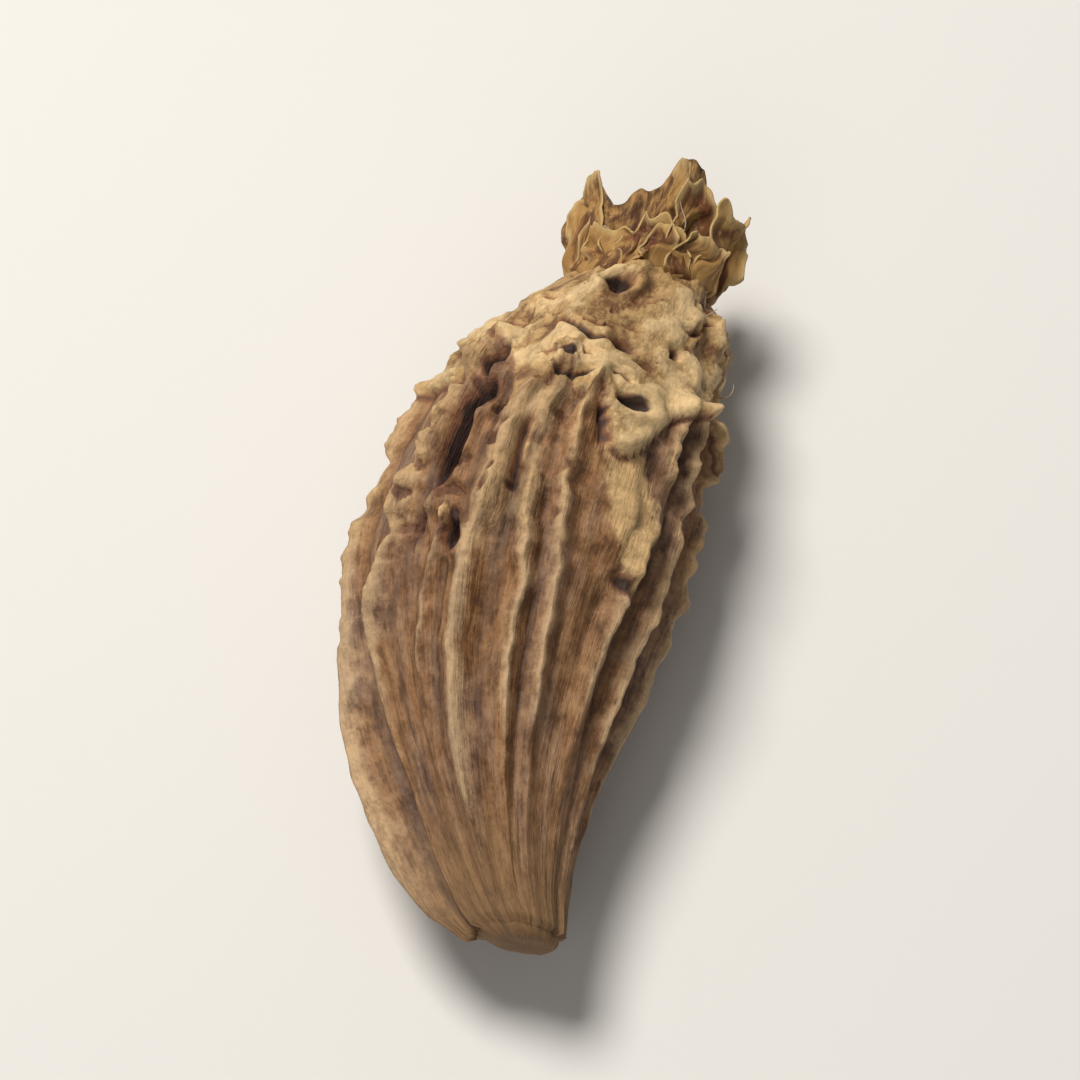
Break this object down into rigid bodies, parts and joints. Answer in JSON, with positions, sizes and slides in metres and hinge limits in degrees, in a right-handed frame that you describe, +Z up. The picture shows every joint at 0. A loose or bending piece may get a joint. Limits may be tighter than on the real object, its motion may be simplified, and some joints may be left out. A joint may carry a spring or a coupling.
{
  "type": "black cardamom pod",
  "caption": "Dried black cardamom pod lying on its side, with wavy lengthwise ribs, a blunt stalk scar, a crumpled tip and a withered flower.",
  "frame": {"origin": "centre of the bounding box, on the surface the pod rests on", "axes": "+Y from the stalk scar toward the withered flower, +Z up, +X to the right when looking from the stalk scar toward the flower"},
  "size_m": [0.015, 0.0346, 0.0128],
  "materials": {
    "dried_husk": "dry fibrous husk, matt brown with paler tan rib crests and a golden tan tip"
  },
  "bodies": {
    "root": {"cardamom_pod": "dried_husk"}
  },
  "joints": []
}
